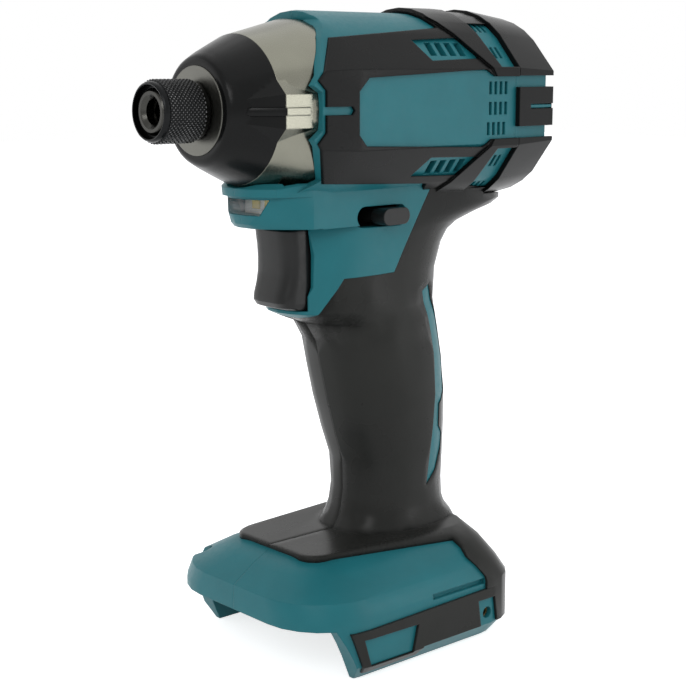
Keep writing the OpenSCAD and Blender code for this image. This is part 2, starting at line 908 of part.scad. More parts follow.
module rear_cover_screws() {
  color(dark_steel)
    for (s = [-1, 1])
      translate([12.1, s * cover_screw_y, spindle_z - cover_screw_z])
        rotate([0, 90, 0]) {
          difference() {
            translate([0, 0, -2.2])
              cylinder(h = 2.2, r = 2.9);
            translate([0, 0, -3])
              cylinder(h = 2, r = 1.3, $fn = 6);
          }
          translate([0, 0, -0.1])
            cylinder(h = 22, r = 1.2);
        }
}

module housing_screws() {
  color(dark_steel)
    for (p = screw_places)
      difference() {
        union() {
          peg(p[0], p[1], -screw_seat - 2.3, -screw_seat - 0.05, 3.1);
          peg(p[0], p[1], -screw_seat - 1, 9.6, 1.2);
        }
        peg(p[0], p[1], -screw_seat - 4, -screw_seat - 1, 1.4, $fn = 6);
      }
}

// Aluminium case over the hammer, closed in front round the anvil's bush
module hammer_case() {
  color(aluminium)
    difference() {
      union() {
        intersection() {
          case_profile(0);
          block(60, nose, -case_r - 0.4, case_r + 0.4, 0, spindle_z + 60);
        }
        for (s = [-1, 1])
          along_x(rim_x - 6, bumper_back - 0.05)
            side_pad(s, case_r - 0.6, case_r - 4.6, 4.9);
        block(rim_x, bumper_back - 0.05, -case_r, case_r, spindle_z - 1.1, spindle_z + 1.1);
      }
      disc(60, gear_front + 0.4, gear_seat_r);
      disc(gear_front, chamber_front, chamber_r);
      disc(chamber_front - 1, case_front - 1.2, bush_r + run_gap);
      disc(case_front - 2, nose, journal_r + 0.3);
    }
}

// Wedge that carries the case's side pads on over the bumper
module bumper_wedge(s, g) {
  hull() {
    along_x(bumper_back - 1, bumper_back)
      side_pad(s, case_r - 0.6 + g, case_r - 4.6, 4.9);
    along_x(nose - 20, nose - 20 + slice)
      side_pad(s, case_r - 8 + g, case_r - 12, 3.4);
  }
}

module nose_bumper() {
  color(black)
    difference() {
      union() {
        turned([
          [0, bumper_back - 1], [case_r - 2.8, bumper_back - 1], [case_r - 2.8, bumper_back],
          [case_r - 5.4, nose - 24], [case_r - 7.3, nose - 20],
          [case_r - 9, nose - 17], [case_r - 9.9, nose - 16.2],
          [case_ring_r + 1, nose - 15.9], [0, nose - 15.9]
        ]);
        for (s = [-1, 1]) {
          bumper_wedge(s, 0);
          intersection() {
            bumper_wedge(s, 0.6);
            block(bumper_back - 2, nose - 19.8, -40, 40, spindle_z - 0.9, spindle_z + 0.9);
          }
        }
      }
      block(bumper_back - 3, bumper_back, -60, 60, 0, spindle_z + 60);
      turned([
        [0, bumper_back - 4], [case_r - 5.3, bumper_back - 4], [case_r - 5.3, bumper_back],
        [case_r - 9.7, nose - 20], [case_ring_r + 0.05, nose - 18.5],
        [case_ring_r + 0.05, nose - 14], [0, nose - 14]
      ]);
    }
}

module anvil_bush() {
  color(bronze)
    tube(chamber_front + 0.8, case_front - 1.3, bush_r, journal_r + run_gap);
}

// Anvil: nose with the socket, journal, and the two lugs that the hammer strikes
module anvil() {
  color(dark_steel)
    difference() {
      union() {
        turned([
          [0, lug_back], [9.5, lug_back], [9.5, lug_front], [journal_r, lug_front],
          [journal_r, case_front - 0.2],
          [nose_r, case_front + 0.3], [nose_r, nose - 1.1], [nose_r - 0.9, nose], [0, nose]
        ]);
        intersection() {
          disc(lug_back, lug_front, hammer_r - 1.4);
          block(lug_back, lug_front, -40, 40, spindle_z - 5.2, spindle_z + 5.2);
        }
      }
      disc(lug_back - 1, lug_front + 1, tip_r + run_gap);
      along_x(nose - 27, nose + 1)
        circle(d = bit_hex / cos(30), $fn = 6);
      disc(nose - 4, nose + 1, 3.75);
      turned([[0, nose - 1.2], [3.75, nose - 1.2], [5, nose + 0.05], [0, nose + 0.05]]);
      for (s = [-1, 1])
        translate([ball_x, 0, spindle_z])
          rotate([s * 90, 0, 0])
            cylinder(h = 12, r = ball_r + 0.1);
    }
}

module bit_balls() {
  color(steel)
    for (s = [-1, 1])
      translate([ball_x, s * ball_orbit, spindle_z])
        sphere(ball_r);
}

// Washer and ring that hold the sleeve's spring on the anvil
module sleeve_ring() {
  color(dark_steel)
    tube(ring_back, ring_back + 1.2, nose_r + 1.45, nose_r + 0.03);
}

// Sleeve with a ribbed band, its inner land holds the balls in
module bit_sleeve() {
  ribs = 44;
  band_back = sleeve_back + 2.2;
  band_front = sleeve_front - 1.8;
  color(black)
    difference() {
      union() {
        turned([
          [0, sleeve_back], [sleeve_r - 0.75, sleeve_back], [sleeve_r - 0.75, band_back - 0.3],
          [sleeve_r - 0.35, band_back], [sleeve_r - 0.35, band_front], [sleeve_r - 0.5, band_front + 0.3],
          [sleeve_r - 0.5, sleeve_front - 0.5], [sleeve_r - 1, sleeve_front], [0, sleeve_front]
        ]);
        along_x(band_back, band_front)
          polygon([for (i = [0 : 2 * ribs - 1])
            let (r = i % 2 == 0 ? sleeve_r : sleeve_r - 0.4, a = 180 * i / ribs)
            [r * cos(a), r * sin(a)]]);
      }
      disc(sleeve_back - 1, land_back, nose_r + 1.15);
      disc(sleeve_back, land_front + 1, nose_r + 0.12);
      disc(land_front, tool_len + 1, nose_r + 1.6);
    }
}

module sleeve_spring() {
  color(steel)
    coil(land_front + 0.1, ring_back - 0.1, nose_r + 0.8, 0.28, 2.5);
}

// Hammer with two lugs in front, a spring pocket behind and two ball tracks
module hammer() {
  lug_turn = 56;
  color(dark_steel)
    difference() {
      union() {
        disc(hammer_back, hammer_face, hammer_r);
        along_x(hammer_face - 0.5, lug_front - 0.6)
          rotate(lug_turn)
            for (s = [0, 180])
              rotate(s)
                polygon(concat(
                  [for (a = [-23 : 5.75 : 23]) (hammer_r - 0.2) * [cos(a), sin(a)]],
                  [for (a = [23 : -11.5 : -23]) 10.4 * [cos(a), sin(a)]]
                ));
      }
      disc(hammer_back - 1, hammer_face + 1, spindle_r + run_gap);
      difference() {
        disc(hammer_back - 1, hammer_back + 9.6, 15.2);
        disc(hammer_back - 2, hammer_back + 11, spindle_r + 1.9);
      }
      for (s = [-1, 1])
        translate([cam_x, s * cam_orbit, spindle_z]) {
          sphere(cam_r + 0.1);
          rotate([0, 90, 0])
            cylinder(h = 20, r = cam_r + 0.1);
        }
    }
}

module hammer_spring() {
  color(steel)
    coil(carrier_front + 0.1, hammer_back + 9.5, 12.4, 1.2, 3.5);
}

module cam_balls() {
  color(steel)
    for (s = [-1, 1])
      translate([cam_x, s * cam_orbit, spindle_z])
        sphere(cam_r);
}

// Spindle: tip in the anvil, shaft with ball tracks, planet carrier and rear hub
module spindle() {
  color(steel)
    difference() {
      union() {
        disc(hammer_face - 1, lug_front - 0.6, tip_r);
        disc(carrier_front - 1, hammer_face - 0.8, spindle_r);
        disc(carrier_back, carrier_front, carrier_r);
        disc(carrier_back - 6.6, carrier_back + 1, hub_r - run_gap);
      }
      disc(carrier_back - 8, gear_front + 0.3, pinion_bore_r);
      for (s = [-1, 1]) {
        translate([gear_back - 0.3, s * planet_orbit, spindle_z])
          rotate([0, 90, 0])
            cylinder(h = gear_w + 0.6, r = planet_r + addendum + 0.5);
        translate([carrier_back - 1, s * planet_orbit, spindle_z])
          rotate([0, 90, 0])
            cylinder(h = carrier_front - carrier_back - 0.6, r = 2.2 + run_gap);
        translate([cam_x, s * cam_orbit, spindle_z])
          sphere(cam_r + 0.1);
        for (t = [-1, 1])
          at_axis()
            hull() {
              translate([cam_x, s * cam_orbit, 0])
                sphere(cam_r, $fn = 12);
              rotate([t * 26, 0, 0])
                translate([cam_x - hammer_travel * 0.8, s * cam_orbit, 0])
                  sphere(cam_r, $fn = 12);
            }
      }
    }
}

module planet_pins() {
  color(dark_steel)
    for (s = [-1, 1])
      translate([carrier_back + 0.3, s * planet_orbit, spindle_z])
        rotate([0, 90, 0])
          cylinder(h = carrier_front - carrier_back - 2.2, r = 2.2);
}

module planet_gear(s) {
  color(steel)
    difference() {
      translate([gear_back, s * planet_orbit, spindle_z])
        rotate([90, 0, 90])
          linear_extrude(gear_w)
            rotate(180 / planet_teeth)
              gear_shape(planet_teeth);
      translate([gear_back - 1, s * planet_orbit, spindle_z])
        rotate([0, 90, 0])
          cylinder(h = gear_w + 2, r = 2.2 + run_gap);
    }
}

module planet_gear_left() {
  planet_gear(1);
}

module planet_gear_right() {
  planet_gear(-1);
}

module ring_gear() {
  color(dark_steel)
    difference() {
      disc(gear_back - 0.5, gear_front + 0.3, ring_out_r);
      along_x(gear_back - 2, gear_front + 2)
        ring_space();
    }
}

module spindle_bearing() {
  color(steel)
    difference() {
      tube(carrier_back - 6.5, carrier_back - 0.2, bearing_r, hub_r);
      tube(carrier_back - 0.8, carrier_back + 1, bearing_r - 2, hub_r + 2);
      tube(carrier_back - 8, carrier_back - 5.9, bearing_r - 2, hub_r + 2);
    }
}

// Box between the gears and the motor, with both bearings' seats
module bearing_box() {
  color(black)
    difference() {
      union() {
        disc(box_back, gear_back - 0.6, gear_seat_r - 0.7);
        disc(62.2, gear_back - 0.6, gear_seat_r - 0.1);
      }
      disc(carrier_back - 0.1, gear_front, carrier_r + 0.8);
      disc(carrier_back - 6.6, carrier_back + 1, bearing_r + run_gap);
      disc(box_back - 1, carrier_back, pinion_bore_r + 0.6);
      disc(box_back - 1, box_back + 6.2, 9.5 + run_gap);
    }
}

module pinion() {
  color(steel)
    difference() {
      along_x(carrier_back - 5.8, gear_front - 0.3)
        gear_shape(sun_teeth);
      disc(0, nose, shaft_r);
    }
}

// Laminated core on its shaft
module armature() {
  color(dark_steel) {
    disc(pad + wall + 0.4, gear_front - 0.8, shaft_r);
    difference() {
      disc(core_back, core_front, armature_d / 2);
      disc(0, nose, shaft_r);
      at_axis()
        for (i = [0 : 9])
          rotate([36 * i, 0, 0])
            translate([core_back - 1, armature_d / 2 - 1.6, -0.8])
              cube([core_front - core_back + 2, 4, 1.6]);
    }
  }
}

module windings() {
  color(copper)
    for (x = [core_back - 3.2, core_front])
      turned([
        [shaft_r, x], [armature_d / 2 - 3, x], [armature_d / 2 - 2.2, x + 1.6],
        [armature_d / 2 - 3, x + 3.2],
        [shaft_r, x + 3.2]
      ]);
}

module commutator() {
  color(copper)
    difference() {
      tube(8.6, core_back - 3.2, 8.4, shaft_r);
      at_axis()
        for (i = [0 : 9])
          rotate([36 * i, 0, 0])
            translate([0, 7.4, -0.2])
              cube([14.6, 4, 0.4]);
    }
}

module fan() {
  blades = 11;
  back = core_front + 3.2;
  color(black)
    difference() {
      union() {
        disc(fan_front - 1.4, fan_front, yoke_r - 1.5);
        disc(back, fan_front, 6);
        at_axis()
          for (i = [0 : blades - 1])
            rotate([360 * i / blades, 0, 0])
              translate([back, 5, -0.6])
                cube([fan_front - back - 1, yoke_r - 6.9, 1.2]);
      }
      disc(0, nose, shaft_r);
    }
}

module motor_bearings() {
  color(steel) {
    tube(pad + wall + 0.3, 7.6, 6.5, shaft_r + run_gap);
    tube(box_back + 0.4, box_back + 6, 9.5, shaft_r + run_gap);
  }
}

module yoke() {
  color(steel)
    tube(core_back - 3, core_front + 2.6, yoke_r, yoke_r - 1.9);
}

module magnets() {
  color(dark_steel)
    intersection() {
      tube(core_back - 1, core_front + 1, yoke_r - 1.95, magnet_r);
      along_x(0, nose)
        for (i = [0 : 3])
          rotate(90 * i + 45)
            polygon([[0, 0], [40, -26], [40, 26]]);
    }
}

module brush_holder() {
  plate = core_back - 5.1;
  color(black)
    difference() {
      union() {
        tube(plate, core_back - 3.5, yoke_r - 0.2, 10);
        for (s = [-1, 1])
          block(8.6, plate + 0.5, s > 0 ? 9.6 : -20, s > 0 ? 20 : -9.6, spindle_z - 4.2, spindle_z + 4.2);
      }
      for (s = [-1, 1])
        block(9.6, plate - 0.4, s > 0 ? 5 : -18.5, s > 0 ? 18.5 : -5, spindle_z - 2.7, spindle_z + 2.7);
    }
}

module brushes() {
  color(dark_steel)
    for (s = [-1, 1])
      block(9.8, core_back - 5.7, s > 0 ? 8.7 : -17, s > 0 ? 17 : -8.7, spindle_z - 2.5, spindle_z + 2.5);
}

// Switch with the trigger's guide hole and a bracket for the lever's pivot
module switch_body() {
  color(black)
    difference() {
      union() {
        block(switch_back, switch_front, -10.4, 10.4, trigger_z - 11, trigger_z + 11.4);
        block(lever_x - 4, switch_back + 2, -6, 6, trigger_z + 8.4, trigger_z + 11.4);
        translate([lever_x, 0, trigger_z + 11])
          cylinder(h = lever_z - trigger_z - 8, r = 2);
      }
      translate([switch_back + 2, 0, trigger_z])
        rotate([0, 90, 0])
          cylinder(h = 40, r = 3 + slide_gap);
    }
}

// Trigger with a hollow front for the finger and a stem that runs in the switch
module trigger() {
  back = switch_front + trigger_travel + 1.4;
  // Height from the stem, set-in of the back, front, half width as a share of the trigger's width
  rows = [
    [-12.4, 1.8, 99.6, 0.46], [-11.6, 0.8, 102, 0.485], [-10, 0.2, 103.2, 0.5], [-8, 0, 103, 0.5],
    [-4.6, 0, 101.9, 0.5], [-1, 0, 101.2, 0.5], [3, 0, 101.1, 0.5], [7, 0, 101.4, 0.5], [10, 0, 101.9, 0.5],
    [12, 0.1, 102.2, 0.495], [12.5, 0.2, 101.6, 0.48]
  ];
  color(black) {
    union() {
      loft([for (r = rows)
        level_ring(trigger_z + r[0], back + r[1], xg(r[2]), trigger_w * r[3], 0.6, 32)]);
      translate([switch_front - 6, 0, trigger_z])
        rotate([0, 90, 0])
          cylinder(h = 16, r = 3);
    }
  }
}

module trigger_spring() {
  color(steel)
    translate([0, 0, trigger_z - spindle_z])
      coil(switch_back + 2.1, switch_front - 6.1, 2.4, 0.4, 6);
}

// Lever on its pivot behind the thumb pieces, drawn swung to the left
module reversing_lever() {
  color(black)
    translate([lever_x, 0, lever_z])
      rotate([0, 0, lever_swing / 2])
        difference() {
          union() {
            translate([0, 0, -2])
              cylinder(h = 4, r = 4.4);
            block(0, lever_mid - lever_x, -3, 3, -2, 2);
            block(lever_mid - lever_x - 2.5, lever_mid - lever_x + 2.5, -14, 14, -2, 2);
            for (s = [-1, 1])
              hull()
                for (x = [-3.6, 3.6])
                  translate([lever_mid - lever_x + x, s * 16, 0])
                    rotate([90, 0, 0])
                      cylinder(h = 5.4, r = 2.6, center = true, $fn = 20);
          }
          translate([0, 0, -3])
            cylinder(h = 6, r = 2 + slide_gap / 2);
        }
}

module lamp_board() {
  color(cream) {
    block(lamp_x - 1, lamp_x, -9, 9, zg(31.8) + 0.02, zg(25.6));
    for (s = [-1, 1])
      block(lamp_x - 0.1, lamp_x + 0.7, s * 3 - 1.6, s * 3 + 1.6, zg(30), zg(27));
  }
}

module lamp_lens() {
  color([0.85, 0.9, 0.92])
    difference() {
      intersection() {
        chin_block(-0.05);
        lens_prism(0, lamp_x + 2);
      }
      intersection() {
        chin_block(-1.4);
        lens_prism(-1.2, lamp_x);
      }
    }
}

module terminal_block() {
  color(black)
    difference() {
      union() {
        block(xg(50.2), xg(85.8), -16.8, 16.8, bay_h - 4.5, bay_h + wall + 1);
        block(xg(48), xg(88), -18.5, 18.5, bay_h + wall + 0.05, bay_h + wall + 2.5);
      }
      block(xg(52), xg(84), -14.8, 14.8, bay_h, bay_h + wall + 5);
    }
}

module terminal_blades() {
  color(bronze)
    for (s = [-1, 1])
      block(xg(85.8), xg(97), s * 11 - 0.4, s * 11 + 0.4, bay_h - 4, bay_h - 0.4);
}

// Threaded inserts for a belt hook, one behind each side wall of the foot
module hook_inserts() {
  color(bronze)
    for (s = [-1, 1])
      translate([0, s * foot_w / 2, 0])
        difference() {
          peg(hook_x, hook_z, s > 0 ? -5.9 : hook_seat + 0.1, s > 0 ? -hook_seat - 0.1 : 5.9, 3.25);
          peg(hook_x, hook_z, -10, 10, 1.65);
        }
}

// The frame's origin lies under the middle of the tool's length
module place() {
  translate([-tool_len / 2, 0, 0])
    children();
}

place() housing_left();
place() housing_right();
place() soft_cover_left();
place() soft_cover_right();
place() rear_cover();
place() rear_cover_pads();
place() rear_cover_screws();
place() housing_screws();
place() hammer_case();
place() nose_bumper();
place() anvil_bush();
place() anvil();
place() bit_balls();
place() sleeve_ring();
place() bit_sleeve();
place() sleeve_spring();
place() hammer();
place() hammer_spring();
place() cam_balls();
place() spindle();
place() planet_pins();
place() planet_gear_left();
place() planet_gear_right();
place() ring_gear();
place() spindle_bearing();
place() bearing_box();
place() pinion();
place() armature();
place() windings();
place() commutator();
place() fan();
place() motor_bearings();
place() yoke();
place() magnets();
place() brush_holder();
place() brushes();
place() switch_body();
place() trigger();
place() trigger_spring();
place() reversing_lever();
place() lamp_board();
place() lamp_lens();
place() terminal_block();
place() terminal_blades();
place() hook_inserts();
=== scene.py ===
import math

import bmesh
import bpy
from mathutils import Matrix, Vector


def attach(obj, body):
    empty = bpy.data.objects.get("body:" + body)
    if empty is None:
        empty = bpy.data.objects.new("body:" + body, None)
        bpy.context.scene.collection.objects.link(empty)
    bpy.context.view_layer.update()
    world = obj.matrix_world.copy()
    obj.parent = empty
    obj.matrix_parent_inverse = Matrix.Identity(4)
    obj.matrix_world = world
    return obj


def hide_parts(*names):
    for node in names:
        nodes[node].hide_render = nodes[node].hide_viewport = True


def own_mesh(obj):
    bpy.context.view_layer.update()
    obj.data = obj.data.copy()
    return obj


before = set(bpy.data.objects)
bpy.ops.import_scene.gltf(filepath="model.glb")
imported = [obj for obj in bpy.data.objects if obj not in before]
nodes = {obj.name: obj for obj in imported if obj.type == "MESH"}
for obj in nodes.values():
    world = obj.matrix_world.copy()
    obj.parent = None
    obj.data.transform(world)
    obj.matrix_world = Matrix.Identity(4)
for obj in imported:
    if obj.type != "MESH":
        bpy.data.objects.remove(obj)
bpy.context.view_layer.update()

MM = 0.001
TOOL_LENGTH = 145
AXIS_Z = 172
LEVER_SWING = 11.7


def at(x, y, z):
    """A point in metres; x is measured from the back of the tool, all three in millimetres."""
    return Vector(((x - TOOL_LENGTH / 2) * MM, y * MM, z * MM))


def polar(x, radius, angle, z=AXIS_Z):
    """The same, by radius and angle round a line along X at height z."""
    return at(x, radius * math.cos(angle), z + radius * math.sin(angle))


def add_object(name, data):
    obj = bpy.data.objects.new(name, data)
    bpy.context.scene.collection.objects.link(obj)
    return obj


def aim(obj, place, target):
    """Puts a camera or a lamp at a place and turns it to the target."""
    obj.location = place
    obj.rotation_mode = "QUATERNION"
    obj.rotation_quaternion = (Vector(target) - Vector(place)).to_track_quat("-Z", "Y")


# Camera at the photograph's angle

camera = add_object("camera", bpy.data.cameras.new("camera"))
camera.data.sensor_width = 36
camera.data.lens = 78.1
camera.data.clip_start = 0.01
aim(camera, at(386.0, 354.5, 184.5), at(71.3, 0, 96.6))
bpy.context.scene.camera = camera
bpy.context.scene.view_settings.view_transform = "Standard"


# Materials, with lengths in metres

NOISE_LOW, NOISE_HIGH = 0.3, 0.7
EDGE = 0.0005
FILLET_FADE = 0.006


class Nodes:
    """Small helper that adds and links nodes in one material."""

    SOCKETS = {"color": "Base Color", "rough": "Roughness", "metal": "Metallic", "normal": "Normal",
               "level": "Specular IOR Level", "alpha": "Alpha"}

    def __init__(self, name):
        self.material = bpy.data.materials.new(name)
        self.material.use_nodes = True
        self.tree = self.material.node_tree
        self.shader = self.tree.nodes["Principled BSDF"]
        self.coords = self.tree.nodes.new("ShaderNodeTexCoord").outputs["Object"]

    def add(self, kind, inputs, **settings):
        node = self.tree.nodes.new(kind)
        for key, value in settings.items():
            setattr(node, key, value)
        for key, value in inputs.items():
            self.feed(node.inputs[key], value)
        return node

    def feed(self, socket, value):
        if isinstance(value, bpy.types.NodeSocket):
            self.tree.links.new(value, socket)
        else:
            socket.default_value = value

    def axes(self):
        """Outputs X, Y and Z of the piece's own coordinates."""
        return self.add("ShaderNodeSeparateXYZ", {0: self.coords}).outputs

    def noise(self, scale, detail=3, stretch=None):
        vector = self.coords
        if stretch:
            vector = self.add("ShaderNodeMapping", {"Vector": vector, "Scale": stretch}).outputs[0]
        inputs = {"Vector": vector, "Scale": scale, "Detail": detail, "Roughness": 0.55}
        return self.add("ShaderNodeTexNoise", inputs).outputs["Fac"]

    def maths(self, operation, first, second):
        return self.add("ShaderNodeMath", {0: first, 1: second}, operation=operation).outputs[0]

    def remap(self, value, start, end, first, last):
        """A value from start to end, carried over to first to last and held there."""
        inputs = {0: value, 1: start, 2: end, 3: first, 4: last}
        return self.add("ShaderNodeMapRange", inputs).outputs[0]

    def spread(self, value, low, high):
        """Noise, which lies mostly between NOISE_LOW and NOISE_HIGH, stretched over low to high."""
        return self.remap(value, NOISE_LOW, NOISE_HIGH, low, high)

    def tint(self, value, dark, light):
        """Noise as a colour between dark and light."""
        ramp = self.add("ShaderNodeValToRGB", {"Fac": value})
        low, high = ramp.color_ramp.elements
        low.position, high.position = NOISE_LOW, NOISE_HIGH
        low.color, high.color = (*dark, 1), (*light, 1)
        return ramp.outputs[0]

    def mix(self, share, first, second):
        return self.add("ShaderNodeMix", {0: share, 6: first, 7: second}, data_type="RGBA").outputs[2]

    def bump(self, value, distance, normal=None):
        inputs = {"Height": value, "Distance": distance, "Strength": 1.0}
        if normal:
            inputs["Normal"] = normal
        return self.add("ShaderNodeBump", inputs).outputs[0]

    def rounded(self, radius):
        """Normals that round the edges, as a moulded radius does."""
        return self.add("ShaderNodeBevel", {"Radius": radius}, samples=6).outputs[0]

    def set(self, **values):
        for key, value in values.items():
            self.feed(self.shader.inputs[self.SOCKETS[key]], value)
        return self.material


def shade(color, factor):
    return tuple(c * factor for c in color)


def plastic(name, color, rough, grain, depth, level=0.22):
    """Moulded plastic: eroded grain, faint cloudy colour, gloss that varies a little."""
    n = Nodes(name)
    cloud = n.noise(55)
    fine = n.noise(grain, 2)
    return n.set(
        color=n.tint(cloud, shade(color, 0.93), shade(color, 1.07)),
        rough=n.spread(n.noise(grain * 0.2), rough - 0.04, rough + 0.05),
        level=level,
        normal=n.bump(fine, depth, normal=n.rounded(EDGE)),
    )


def soft_rubber(name, color, rough, grain, depth, level, edge=EDGE, fillets=(), painted_light_band=None):
    """Soft overmould: matte, with a few dust specks and a slightly uneven gloss.

    Each fillet is a band of height, low to high, whose edges are rounded wider. The last argument, when given,
    is a band of height below which the rubber is painted lighter, as painted light on the lower part, and the
    lighter colour there.
    """
    n = Nodes(name)
    for low, high, wide in fillets:
        height = n.axes()["Z"]
        rising = n.remap(height, low - FILLET_FADE, low, 0.0, wide)
        falling = n.remap(height, high, high + FILLET_FADE, wide, 0.0)
        edge = n.maths("MAXIMUM", n.maths("MINIMUM", rising, falling), edge)
    smear = n.noise(38, 4)
    fine = n.noise(grain, 2)
    specks = n.add("ShaderNodeTexVoronoi", {"Vector": n.coords, "Scale": 420.0}).outputs["Distance"]
    dust = n.remap(specks, 0.02, 0.05, 1.0, 0.0)
    clean = n.tint(smear, shade(color, 0.86), shade(color, 1.14))
    mixed = n.mix(dust, clean, (*shade(color, 1.9), 1))
    # Painted light: below the given height the rubber is painted lighter, standing in for more light on the
    # lower part.
    if painted_light_band:
        low, high, lighter = painted_light_band
        painted_light_share = n.remap(n.axes()["Z"], low, high, 1.0, 0.0)
        mixed = n.mix(painted_light_share, mixed, n.tint(smear, shade(lighter, 0.86), shade(lighter, 1.14)))
    return n.set(
        color=mixed,
        rough=n.spread(smear, rough - 0.05, rough + 0.06),
        level=level,
        normal=n.bump(fine, depth, normal=n.rounded(edge)),
    )


def blasted_metal(name, color, rough, grain, depth):
    """Cast or turned metal with a blasted, even skin."""
    n = Nodes(name)
    cloud = n.noise(70, 4)
    fine = n.noise(grain)
    return n.set(
        color=n.tint(cloud, shade(color, 0.94), shade(color, 1.05)),
        metal=1.0,
        rough=n.spread(fine, rough - 0.04, rough + 0.06),
        normal=n.bump(fine, depth, normal=n.rounded(EDGE)),
    )


def turned_metal(name, color, rough):
    """Lathe-turned metal: fine rings round the X axis."""
    n = Nodes(name)
    rings = n.noise(900, stretch=(8.0, 0.35, 0.35))
    cloud = n.noise(120)
    return n.set(
        color=n.tint(cloud, shade(color, 0.9), shade(color, 1.1)),
        metal=1.0,
        rough=n.spread(rings, rough - 0.06, rough + 0.08),
        normal=n.bump(rings, 0.000008),
    )


def knurl_with_painted_glints(name, color, glint_color, low, high, rough):
    """Black oxide whose knurl peaks, from radius low to high round the tool's axis, are painted bright as
    painted highlights.
    """
    n = Nodes(name)
    cloud = n.noise(120)
    axes = n.axes()
    up = n.maths("SUBTRACT", axes["Z"], AXIS_Z * MM)
    across = n.add("ShaderNodeCombineXYZ", {"X": 0.0, "Y": axes["Y"], "Z": up}).outputs[0]
    radius = n.add("ShaderNodeVectorMath", {0: across}, operation="LENGTH").outputs["Value"]
    # Painted highlight: the outermost radius of the knurl gets a light grey colour that stands in for glints.
    glint_share = n.remap(radius, low, high, 0.0, 1.0)
    patchy_glint = n.maths("MULTIPLY", glint_share, n.spread(cloud, 0.35, 1.0))
    base = n.tint(cloud, shade(color, 0.9), shade(color, 1.1))
    return n.set(
        color=n.mix(patchy_glint, base, (*glint_color, 1)),
        metal=1.0,
        rough=n.spread(n.noise(900), rough - 0.06, rough + 0.08),
        normal=n.bump(n.noise(5200), 0.000004),
    )


def clear(name):
    """Thin clear plastic: what lies behind shows through a glossy, faintly milky skin."""
    n = Nodes(name)
    ripple = n.noise(300, 2)
    return n.set(
        color=n.tint(ripple, (0.86, 0.89, 0.90), (0.93, 0.95, 0.95)),
        alpha=n.spread(ripple, 0.05, 0.09),
        rough=n.spread(ripple, 0.04, 0.10),
        level=0.7,
        normal=n.bump(ripple, 0.00001),
    )


def wound_wire(name, color):
    """Varnished copper wire: fine strands round the axis."""
    n = Nodes(name)
    strands = n.noise(2600, 2, stretch=(1.0, 0.1, 0.1))
    return n.set(
        color=n.tint(strands, shade(color, 0.7), shade(color, 1.15)),
        metal=0.85,
        rough=n.spread(strands, 0.28, 0.42),
        normal=n.bump(strands, 0.00006),
    )


teal = plastic("teal_plastic", (0.012, 0.142, 0.166), rough=0.40, grain=3600, depth=0.000012)
# The soft overmould is painted lighter below about 125 mm height, as painted light on the lower grip.
soft = soft_rubber(
    "soft_overmould", (0.0050, 0.0054, 0.0053), rough=0.28, grain=4200, depth=0.000008, level=0.11,
    fillets=[(0.034, 0.056, 0.003), (0.100, 0.113, 0.007)],
    painted_light_band=(0.125, 0.150, (0.0200, 0.0204, 0.0187)),
)
pads = soft_rubber(
    "pad_rubber", (0.0050, 0.0053, 0.0053), rough=0.30, grain=4200, depth=0.000008, level=0.11
)
bumper = soft_rubber(
    "bumper_rubber", (0.004, 0.0043, 0.0043), rough=0.25, grain=3800, depth=0.000006, level=0.13, edge=0.0001
)
black = plastic(
    "black_plastic", (0.0062, 0.0066, 0.0066), rough=0.34, grain=3000, depth=0.000008, level=0.25
)
inner_black = plastic("inner_black", (0.03, 0.03, 0.032), rough=0.5, grain=2400, depth=0.00001)
case = blasted_metal("blasted_aluminium", (0.20, 0.198, 0.162), rough=0.25, grain=5200, depth=0.0000025)
ring_case = blasted_metal("blasted_ring", (0.128, 0.127, 0.114), rough=0.34, grain=5200, depth=0.000004)
steel = turned_metal("turned_steel", (0.55, 0.55, 0.56), rough=0.30)
gunmetal = turned_metal("gunmetal", (0.044, 0.0435, 0.040), rough=0.24)
oxide = turned_metal("black_oxide", (0.018, 0.0185, 0.019), rough=0.36)
# The knurl's peaks are painted light grey as painted highlights.
knurl = knurl_with_painted_glints(
    "black_oxide_knurl", (0.014, 0.0145, 0.015), glint_color=(0.20, 0.20, 0.20), low=0.00914, high=0.00926, rough=0.30
)
bronze = turned_metal("bronze", (0.55, 0.38, 0.18), rough=0.34)
copper = wound_wire("copper_wire", (0.62, 0.28, 0.14))
ferrite = blasted_metal("ferrite", (0.1, 0.1, 0.105), rough=0.6, grain=2600, depth=0.00002)
board = plastic("lamp_board", (0.86, 0.85, 0.79), rough=0.4, grain=1800, depth=0.000006)
die = plastic("lamp_die", (0.86, 0.66, 0.16), rough=0.35, grain=2600, depth=0.00001)
lens = clear("clear_lens")


# Looks of the CAD nodes: the material and the radius of the edges in millimetres

